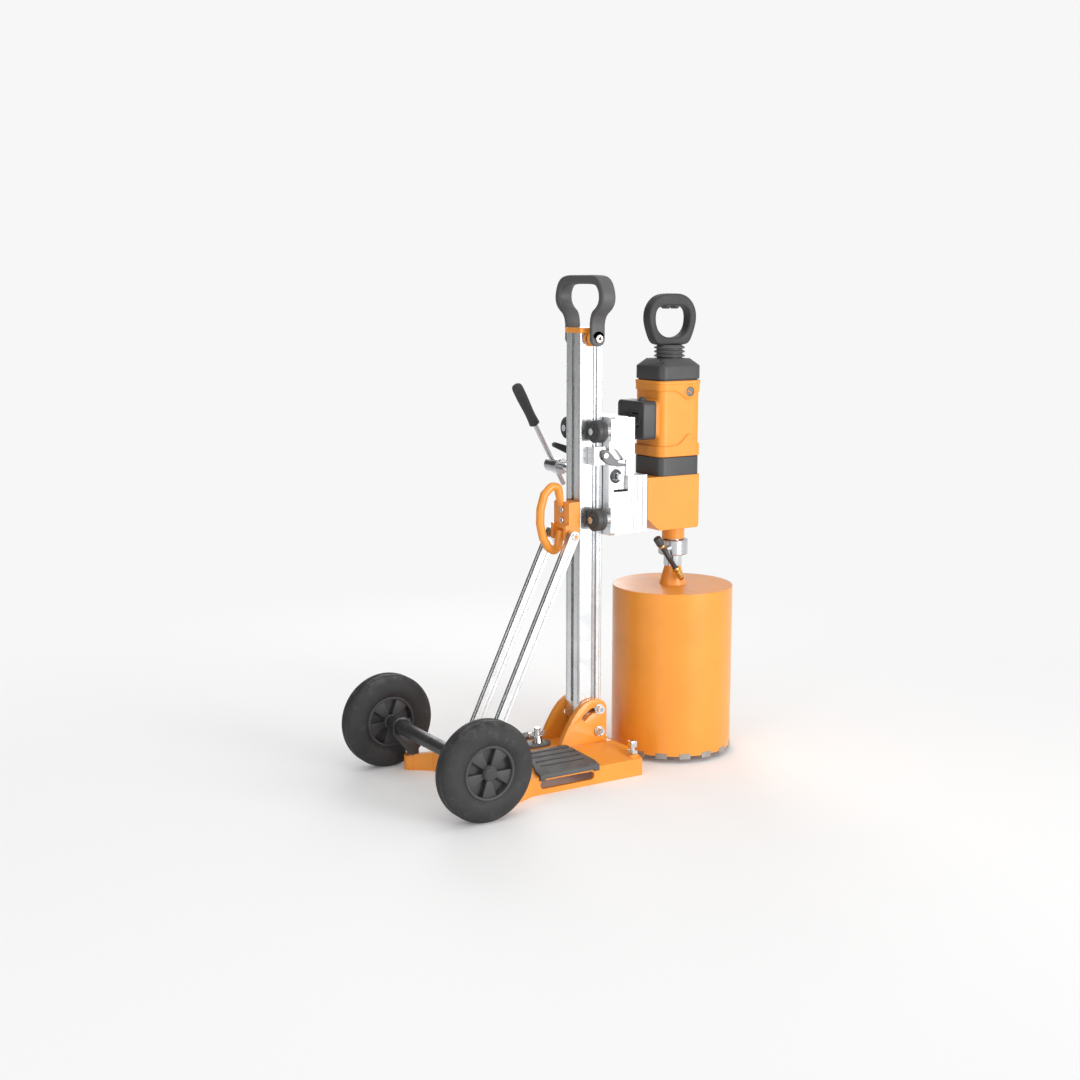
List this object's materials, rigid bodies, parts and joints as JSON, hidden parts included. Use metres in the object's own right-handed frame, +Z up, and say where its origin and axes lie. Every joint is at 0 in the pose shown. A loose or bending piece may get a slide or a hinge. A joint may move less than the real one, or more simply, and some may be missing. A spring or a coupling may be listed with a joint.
{
  "type": "core drill rig",
  "caption": "Wheeled core drilling rig: tilting mast on a steel base, cranked carriage with a drill motor, water swivel and large open core bit.",
  "frame": {"origin": "on the floor under the centre of the mast, on the base's cross rib", "axes": "+X towards the core bit, +Y towards the feed crank, +Z up"},
  "size_m": [0.9487, 0.54, 1.187],
  "materials": {
    "orange_steel": "semi gloss",
    "orange_alloy": "semi gloss",
    "bare_alloy": "satin",
    "steel": "satin",
    "dark_steel": "satin",
    "chrome": "bright",
    "brass": "satin",
    "black_plastic": "matt",
    "grey_plastic": "matt",
    "tyre": "matt",
    "rubber": "matt",
    "segment": "rough"
  },
  "bodies": {
    "base": {"base_plate": "orange_steel", "foot_treads": "black_plastic", "base_lugs": "orange_steel", "axle_sleeve": "dark_steel", "axle_rod": "steel", "jam_nuts": "steel", "anchor_rod": "steel", "bubble_level": "grey_plastic"},
    "wheel_right": {"wheel_right_tyre": "tyre", "wheel_right_hub": "grey_plastic"},
    "wheel_left": {"wheel_left_tyre": "tyre", "wheel_left_hub": "grey_plastic"},
    "level_front_right": {"level_screw_front_right": "chrome"},
    "level_front_left": {"level_screw_front_left": "chrome"},
    "level_rear_right": {"level_screw_rear_right": "chrome"},
    "level_rear_left": {"level_screw_rear_left": "chrome"},
    "wing_nut": {"anchor_wing_nut": "steel"},
    "column": {"mast": "bare_alloy", "guide_rods": "steel", "gear_rack": "steel", "tilt_screws": "chrome", "mast_cap": "orange_alloy"},
    "handle": {"carry_handle": "grey_plastic"},
    "clamp": {"brace_clamp": "orange_alloy", "grab_handle": "orange_alloy"},
    "brace_pair": {"braces": "bare_alloy"},
    "carriage": {"carriage_body": "bare_alloy", "carriage_blocks": "bare_alloy", "motor_bracket": "bare_alloy", "roller_bolts": "chrome", "clamp_blocks": "bare_alloy", "gear_case": "orange_alloy", "gear_band": "black_plastic", "motor_housing": "orange_alloy", "brush_sets": "black_plastic", "motor_cap": "black_plastic", "grip_neck": "rubber", "motor_grip": "black_plastic", "switch_box": "black_plastic", "stator": "steel", "bearings": "steel", "water_collar": "chrome", "water_lance": "brass"},
    "roller_lr": {"roller_low_right": "black_plastic"},
    "roller_ll": {"roller_low_left": "black_plastic"},
    "roller_hr": {"roller_high_right": "black_plastic"},
    "roller_hl": {"roller_high_left": "black_plastic"},
    "lock": {"lock_lever": "dark_steel"},
    "brake": {"brake_lever": "black_plastic"},
    "crank": {"feed_shaft": "steel", "crank_arm": "chrome"},
    "grip": {"crank_grip": "black_plastic"},
    "rocker": {"power_rocker": "black_plastic"},
    "dial": {"speed_dial": "black_plastic"},
    "rotor": {"armature": "steel"},
    "lay": {"lay_shaft": "steel"},
    "output": {"spindle": "steel", "bit_hub": "orange_steel", "bit_barrel": "orange_steel", "bit_segments": "segment"}
  },
  "joints": [
    {"name": "wheel_right_spin", "type": "hinge", "parent": "base", "child": "wheel_right", "pos_m": [-0.416, -0.24, 0.115], "axis": [0, 1, 0], "continuous": true},
    {"name": "wheel_left_spin", "type": "hinge", "parent": "base", "child": "wheel_left", "pos_m": [-0.416, 0.24, 0.115], "axis": [0, 1, 0], "continuous": true},
    {"name": "level_front_right", "type": "slide", "parent": "base", "child": "level_front_right", "axis": [0, 0, 1], "range_m": [0, 0.02]},
    {"name": "level_front_left", "type": "slide", "parent": "base", "child": "level_front_left", "axis": [0, 0, 1], "range_m": [0, 0.02]},
    {"name": "level_rear_right", "type": "slide", "parent": "base", "child": "level_rear_right", "axis": [0, 0, 1], "range_m": [0, 0.02]},
    {"name": "level_rear_left", "type": "slide", "parent": "base", "child": "level_rear_left", "axis": [0, 0, 1], "range_m": [0, 0.02]},
    {"name": "wing_nut_turn", "type": "hinge", "parent": "base", "child": "wing_nut", "pos_m": [-0.132, 0, 0.0744], "axis": [0, 0, 1], "continuous": true},
    {"name": "tilt", "type": "hinge", "parent": "base", "child": "column", "pos_m": [0.014, 0, 0.092], "axis": [0, -1, 0], "range_deg": [0, 45]},
    {"name": "handle_fold", "type": "hinge", "parent": "column", "child": "handle", "pos_m": [0, 0, 1.04], "axis": [0, 1, 0], "range_deg": [-90, 0]},
    {"name": "clamp_slide", "type": "slide", "parent": "column", "child": "clamp", "axis": [0, 0, 1], "range_m": [0, 0.25644]},
    {"name": "brace_swing", "type": "hinge", "parent": "clamp", "child": "brace_pair", "pos_m": [-0.061, 0, 0.577], "axis": [0, -1, 0], "range_deg": [0, 9.92]},
    {"name": "feed", "type": "slide", "parent": "column", "child": "carriage", "axis": [0, 0, 1], "range_m": [-0.395, 0.165]},
    {"name": "roller_lr_spin", "type": "hinge", "parent": "carriage", "child": "roller_lr", "pos_m": [0, -0.0589, 0.614], "axis": [1, 0, 0], "continuous": true},
    {"name": "roller_ll_spin", "type": "hinge", "parent": "carriage", "child": "roller_ll", "pos_m": [0, 0.0589, 0.614], "axis": [1, 0, 0], "continuous": true},
    {"name": "roller_hr_spin", "type": "hinge", "parent": "carriage", "child": "roller_hr", "pos_m": [0, -0.0589, 0.824], "axis": [1, 0, 0], "continuous": true},
    {"name": "roller_hl_spin", "type": "hinge", "parent": "carriage", "child": "roller_hl", "pos_m": [0, 0.0589, 0.824], "axis": [1, 0, 0], "continuous": true},
    {"name": "lock_swing", "type": "hinge", "parent": "carriage", "child": "lock", "pos_m": [0.014, -0.0613, 0.767], "axis": [0, -1, 0], "range_deg": [-8, 40]},
    {"name": "brake_swing", "type": "hinge", "parent": "carriage", "child": "brake", "pos_m": [0.008, 0.058, 0.767], "axis": [0, -1, 0], "range_deg": [0, 60]},
    {"name": "feed_crank", "type": "hinge", "parent": "carriage", "child": "crank", "pos_m": [0.052, 0, 0.7145], "axis": [0, 1, 0], "continuous": true},
    {"name": "crank_grip_spin", "type": "hinge", "parent": "crank", "child": "grip", "pos_m": [-0.00485, 0.2148, 0.8179], "axis": [-0.4818, 0, 0.8763], "continuous": true},
    {"name": "rocker_tip", "type": "hinge", "parent": "carriage", "child": "rocker", "pos_m": [0.138, -0.024, 0.843], "axis": [0, 1, 0], "range_deg": [0, 10]},
    {"name": "speed_turn", "type": "hinge", "parent": "carriage", "child": "dial", "pos_m": [0.133, 0.022, 0.843], "axis": [1, 0, 0], "range_deg": [0, 270]},
    {"name": "spindle_spin", "type": "hinge", "parent": "carriage", "child": "output", "pos_m": [0.267, 0, 0.5], "axis": [0, 0, 1], "continuous": true},
    {"name": "lay_spin", "type": "hinge", "parent": "carriage", "child": "lay", "pos_m": [0.218, 0.02, 0.65], "axis": [0, 0, 1], "continuous": true},
    {"name": "rotor_spin", "type": "hinge", "parent": "carriage", "child": "rotor", "pos_m": [0.245, 0, 0.85], "axis": [0, 0, 1], "continuous": true}
  ],
  "couplings": [
    {"joint": "clamp_slide", "follows": "tilt", "m_per_rad": 0.32549},
    {"joint": "brace_swing", "follows": "tilt", "ratio": 0.21379},
    {"joint": "feed_crank", "follows": "feed", "rad_per_m": -69.93},
    {"joint": "roller_lr_spin", "follows": "feed", "rad_per_m": -36.63},
    {"joint": "roller_ll_spin", "follows": "feed", "rad_per_m": 36.63},
    {"joint": "roller_hr_spin", "follows": "feed", "rad_per_m": -36.63},
    {"joint": "roller_hl_spin", "follows": "feed", "rad_per_m": 36.63},
    {"joint": "lay_spin", "follows": "spindle_spin", "ratio": -1.5476},
    {"joint": "rotor_spin", "follows": "spindle_spin", "ratio": 4.1354}
  ]
}
